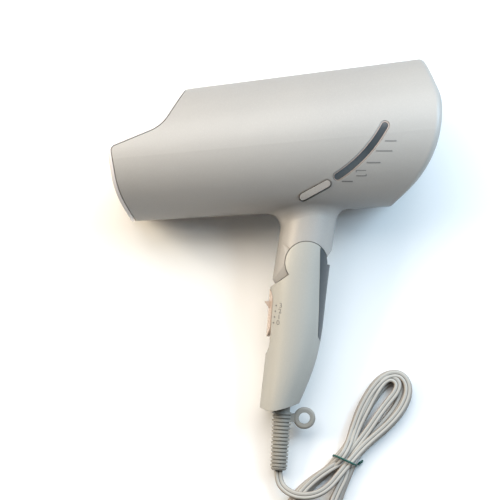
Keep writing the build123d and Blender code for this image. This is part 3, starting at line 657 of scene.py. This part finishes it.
def tie_ends():
    """The two ends, twisted about each other beside the hank."""
    strands = []
    for phase in (0.0, pi):
        strand = []
        for step in range(TWIST_STEPS):
            share = step / (TWIST_STEPS - 1)
            angle = phase + 2 * pi * TWIST_TURNS * share
            swirl = TWIST_R * min(1.0, 6 * share)
            left = -TIE_HALF_WIDTH - 0.4 - TWIST_LENGTH * 0.5 * share
            along = 1.2 + TWIST_LENGTH * 0.8 * share + swirl * cos(angle)
            strand.append(in_tie(along, left, 3.4 - 1.6 * share + swirl * sin(angle)) * MM)
        strands.append(strand)
    return strands


tie_parts = [path_object("tie_path", tie_loop(), True)]
tie_parts += [path_object("tie_end", strand) for strand in tie_ends()]
tie_pieces = []
for index, path in enumerate(tie_parts):
    settings = {"Radius": TIE_R, "Spacing": WIRE_SPACING, "Finish": tie_green}
    tie_pieces.append(run_tree(f"tie_part_{index}", path, WIRE_TREE, settings))


def joined(name, pieces, body):
    """Several mesh objects as one, on a body."""
    built = bmesh.new()
    for piece in pieces:
        built.from_mesh(piece.data)
    mesh = bpy.data.meshes.new(name)
    built.to_mesh(mesh)
    built.free()
    for material in pieces[0].data.materials:
        mesh.materials.append(material)
    for piece in pieces:
        bpy.data.objects.remove(piece)
    whole = bpy.data.objects.new(name, mesh)
    bpy.context.scene.collection.objects.link(whole)
    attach(whole, body)
    return whole


tie = joined("twist_tie", tie_pieces, "handle")
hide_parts("wire_tie")
print("twist tie:", len(tie.data.polygons), "faces")

# %% [markdown]
# ## Printed marks
# The speed switch has four positions, numbered 3 to 0, with a dot for each; the window's lamps
# have a short bar each, and two bent arrows say which way to step.  Ink is thinner than a hair,
# so each mark is a very thin solid.  It is drawn flat in the dryer's directions and dropped onto
# the real surface along the side's direction, which keeps it on curved walls.

# %% Drop a flat drawing onto a part
INK_RISE = 0.00006
INK_THICKNESS = 0.08
RAY_START = 80.0


def surface_of(name):
    """A ray-casting tree of a part's outer skin."""
    mesh = nodes[name].data
    return BVHTree.FromPolygons([v.co for v in mesh.vertices], [p.vertices for p in mesh.polygons])


def dropped(piece, skin):
    """Each corner of a drawing, given as aft, high and thickness in millimetres, laid on the skin."""
    for vertex in piece.data.vertices:
        aft, high, thick = vertex.co
        hit = skin.ray_cast(at(aft, high, RAY_START), -SIDE)[0]
        vertex.co = hit + SIDE * (INK_RISE + thick * MM)
    piece.data.update()
    return piece


def flat_drawing(name, outlines, thick=INK_THICKNESS):
    """Thin solids from outlines in aft and high, each convex and anticlockwise."""
    built = bmesh.new()
    for outline in outlines:
        low = [built.verts.new((x, y, 0)) for x, y in outline]
        top = [built.verts.new((x, y, thick)) for x, y in outline]
        built.faces.new(list(reversed(low)))
        built.faces.new(top)
        for index in range(len(outline)):
            other = (index + 1) % len(outline)
            built.faces.new((low[index], low[other], top[other], top[index]))
    mesh = bpy.data.meshes.new(name)
    built.to_mesh(mesh)
    built.free()
    piece = bpy.data.objects.new(name, mesh)
    bpy.context.scene.collection.objects.link(piece)
    return piece


# %% Directions that lie level and upright in the camera's view
LEVEL = Vector((cos(CAMERA_TURN), -sin(CAMERA_TURN)))
PLUMB = Vector((sin(CAMERA_TURN), cos(CAMERA_TURN)))


def level_box(centre, width, height):
    """A small upright oblong that stands level when the barrel rises to the right."""
    middle = Vector(centre)
    corners = []
    for x, y in ((-1, -1), (1, -1), (1, 1), (-1, 1)):
        corners.append(tuple(middle + LEVEL * x * width / 2 + PLUMB * y * height / 2))
    return corners


LAMP_BARS = [((30.4, 50.1), 7.1), ((48.1, 60.7), 8.9), ((55.5, 67.6), 10.6), ((60.2, 73.6), 7.5)]
BAR_HEIGHT = 0.85
ARROW_LENGTH = 6.6
ARROW_STROKE = 0.5
HOOK_HEIGHT = 1.3
HOOK_DROP = 0.6
bars = [level_box(centre, width, BAR_HEIGHT) for centre, width in LAMP_BARS]


def bent_arrow(centre, flip):
    """A long level shaft with a short hook at one end, as on a step key."""
    shaft = level_box(centre, ARROW_LENGTH, ARROW_STROKE)
    end = LEVEL * (ARROW_LENGTH - ARROW_STROKE) / 2 + PLUMB * HOOK_DROP
    hook = level_box(Vector(centre) - end * flip, ARROW_STROKE, HOOK_HEIGHT)
    return [shaft, hook]


arrows = bent_arrow((39.7, 56.4), 1) + bent_arrow((39.7, 52.9), -1)
lamp_marks = dropped(flat_drawing("lamp_marks", bars + arrows), surface_of("housing_left"))
wear(lamp_marks, mark_grey)
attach(lamp_marks, "barrel")

# %% A tree that lays a row of dots
def dot_row_tree():
    tree = bpy.data.node_groups.new("row_of_dots", "GeometryNodeTree")
    add_inputs(tree, (
        ("Geometry", "Geometry"), ("Count", "Int"), ("First", "Vector"), ("Step", "Vector"),
        ("Radius", "Float"), ("Thickness", "Float"), ("Finish", "Material"),
    ))
    tree.interface.new_socket(name="Dots", in_out="OUTPUT", socket_type="NodeSocketGeometry")
    source = tree.nodes.new("NodeGroupInput")
    row = tree.nodes.new("GeometryNodeMeshLine")
    row.mode = "OFFSET"
    disc = tree.nodes.new("GeometryNodeMeshCylinder")
    disc.inputs["Vertices"].default_value = 18
    spread = tree.nodes.new("GeometryNodeInstanceOnPoints")
    realize = tree.nodes.new("GeometryNodeRealizeInstances")
    finish = tree.nodes.new("GeometryNodeSetMaterial")
    target = tree.nodes.new("NodeGroupOutput")
    link(tree, source.outputs["Count"], row.inputs["Count"])
    link(tree, source.outputs["First"], row.inputs["Start Location"])
    link(tree, source.outputs["Step"], row.inputs["Offset"])
    link(tree, source.outputs["Radius"], disc.inputs["Radius"])
    link(tree, source.outputs["Thickness"], disc.inputs["Depth"])
    link(tree, row.outputs["Mesh"], spread.inputs["Points"])
    link(tree, disc.outputs["Mesh"], spread.inputs["Instance"])
    link(tree, spread.outputs["Instances"], realize.inputs["Geometry"])
    link(tree, realize.outputs["Geometry"], finish.inputs["Geometry"])
    link(tree, source.outputs["Finish"], finish.inputs["Material"])
    link(tree, finish.outputs["Geometry"], target.inputs["Dots"])
    return tree


# %% Dots and numerals beside the speed switch
LEAN = radians(13.8)
DOWN = Vector((-sin(LEAN), -cos(LEAN)))
BACK = Vector((cos(LEAN), -sin(LEAN)))
SWITCH_PITCH = 3.8
DOT_R = 0.55
NUMERAL_HEIGHT = 4.3
NUMERAL_SHIFT = 2.9
FIRST_DOT = DOWN * 30.6 - BACK * 15.1
row_base = path_object("dots_base", [Vector((0, 0, 0)), Vector((0, 0, 1))])
dots = run_tree("switch_dots", row_base, dot_row_tree(), {
    "Count": 4, "First": (*FIRST_DOT, INK_THICKNESS / 2), "Step": (*(DOWN * SWITCH_PITCH), 0.0),
    "Radius": DOT_R, "Thickness": INK_THICKNESS, "Finish": mark_grey,
})
for face in dots.data.polygons:
    face.use_smooth = False
dropped(dots, surface_of("handle_left"))
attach(dots, "handle")


def numeral(character, centre, size=NUMERAL_HEIGHT):
    """A numeral as a thin solid, level like the lamp bars, in millimetres."""
    text = bpy.data.curves.new("numeral_" + character, "FONT")
    text.body = character
    text.size = size
    text.extrude = INK_THICKNESS / 2
    text.align_x = "CENTER"
    text.align_y = "CENTER"
    carrier = bpy.data.objects.new("numeral_" + character, text)
    bpy.context.scene.collection.objects.link(carrier)
    bpy.context.view_layer.update()
    mesh = mesh_of(carrier)
    bpy.data.objects.remove(carrier)
    for vertex in mesh.vertices:
        flat = Vector(centre) + LEVEL * vertex.co.x + PLUMB * vertex.co.y
        vertex.co = (flat.x, flat.y, vertex.co.z + INK_THICKNESS / 2)
    piece = bpy.data.objects.new("numeral_" + character, mesh)
    bpy.context.scene.collection.objects.link(piece)
    return piece


numerals = []
for index, character in enumerate("3210"):
    middle = FIRST_DOT + DOWN * SWITCH_PITCH * index + LEVEL * NUMERAL_SHIFT
    numerals.append(dropped(numeral(character, middle), surface_of("handle_left")))
wear(numerals[0], mark_grey)
switch_marks = joined("switch_numerals", numerals, "handle")
for piece in (lamp_marks, dots, switch_marks):
    print(piece.name, len(piece.data.polygons), "faces")

# %% [markdown]
# ## Floor and light
# The floor is a plain pale sheet.  A large soft lamp beyond the barrel's top gives the broad
# highlight.  A small cool lamp tints the intake's side and a small warm one the outlet's side.
# The sky is graded: pale beyond the barrel's top and dark behind the handle's end, so the
# barrel's underside falls into shade.

# %% Floor
FLOOR_GAP = 0.00005


def floor_sheet(half):
    mesh = bpy.data.meshes.new("floor")
    corners = [(-half, -half, 0), (half, -half, 0), (half, half, 0), (-half, half, 0)]
    mesh.from_pydata(corners, [], [(0, 1, 2, 3)])
    piece = bpy.data.objects.new("floor", mesh)
    bpy.context.scene.collection.objects.link(piece)
    piece.location.z = -FLOOR_GAP
    return piece


def floor_paper():
    """Pale matt paper with a very faint cloudiness."""
    material, tree, principled, place = shader("floor_paper")
    cloudy = stretched(tree, noise(tree, place, 3.0), 0.3, 0.7)
    tone = mixed(tree, cloudy, (0.86, 0.86, 0.86), (0.88, 0.88, 0.88))
    link(tree, tone, principled.inputs["Base Color"])
    principled.inputs["Roughness"].default_value = 0.7
    return material


floor = floor_sheet(6.0)
wear(floor, floor_paper())
print("floor:", round(floor.dimensions.x, 1), "m wide")

# %% Light
def soft_lamp(name, offset, size, power, colour):
    """An area lamp at an offset along the camera's right, its up, and towards it, in metres."""
    data = bpy.data.lights.new(name, "AREA")
    data.shape = "RECTANGLE"
    data.size = size[0]
    data.size_y = size[1]
    data.energy = power
    data.color = colour
    lamp = bpy.data.objects.new(name, data)
    bpy.context.scene.collection.objects.link(lamp)
    right, up, near = offset
    lamp.location = camera_aim + camera_right * right + camera_up * up + SIDE * near
    lamp.rotation_euler = (camera_aim - lamp.location).to_track_quat("-Z", "Y").to_euler()
    return lamp


soft_lamp("key", (-0.10, 0.80, 0.95), (1.3, 1.0), 12.5, (1.0, 0.992, 0.98))
soft_lamp("cool", (0.42, 0.20, 0.34), (0.30, 0.30), 2.6, (0.60, 0.82, 1.0))
soft_lamp("warm", (-0.44, 0.16, 0.30), (0.22, 0.22), 2.6, (1.0, 0.84, 0.62))


def graded_sky(low, high):
    """A sky that goes from one colour to another along the barrel's upward direction."""
    sky = bpy.data.worlds.new("sky")
    sky.use_nodes = True
    tree = sky.node_tree
    way = tree.nodes.new("ShaderNodeTexCoord").outputs["Generated"]
    rise = tree.nodes.new("ShaderNodeVectorMath")
    rise.operation = "DOT_PRODUCT"
    rise.inputs[1].default_value = camera_up
    link(tree, way, rise.inputs[0])
    share = stretched(tree, rise.outputs["Value"], -0.3, 0.7)
    link(tree, mixed(tree, share, low, high), tree.nodes["Background"].inputs["Color"])
    return sky


bpy.context.scene.world = graded_sky((0.05, 0.042, 0.036), (0.62, 0.64, 0.66))
bpy.context.scene.view_settings.view_transform = "Standard"
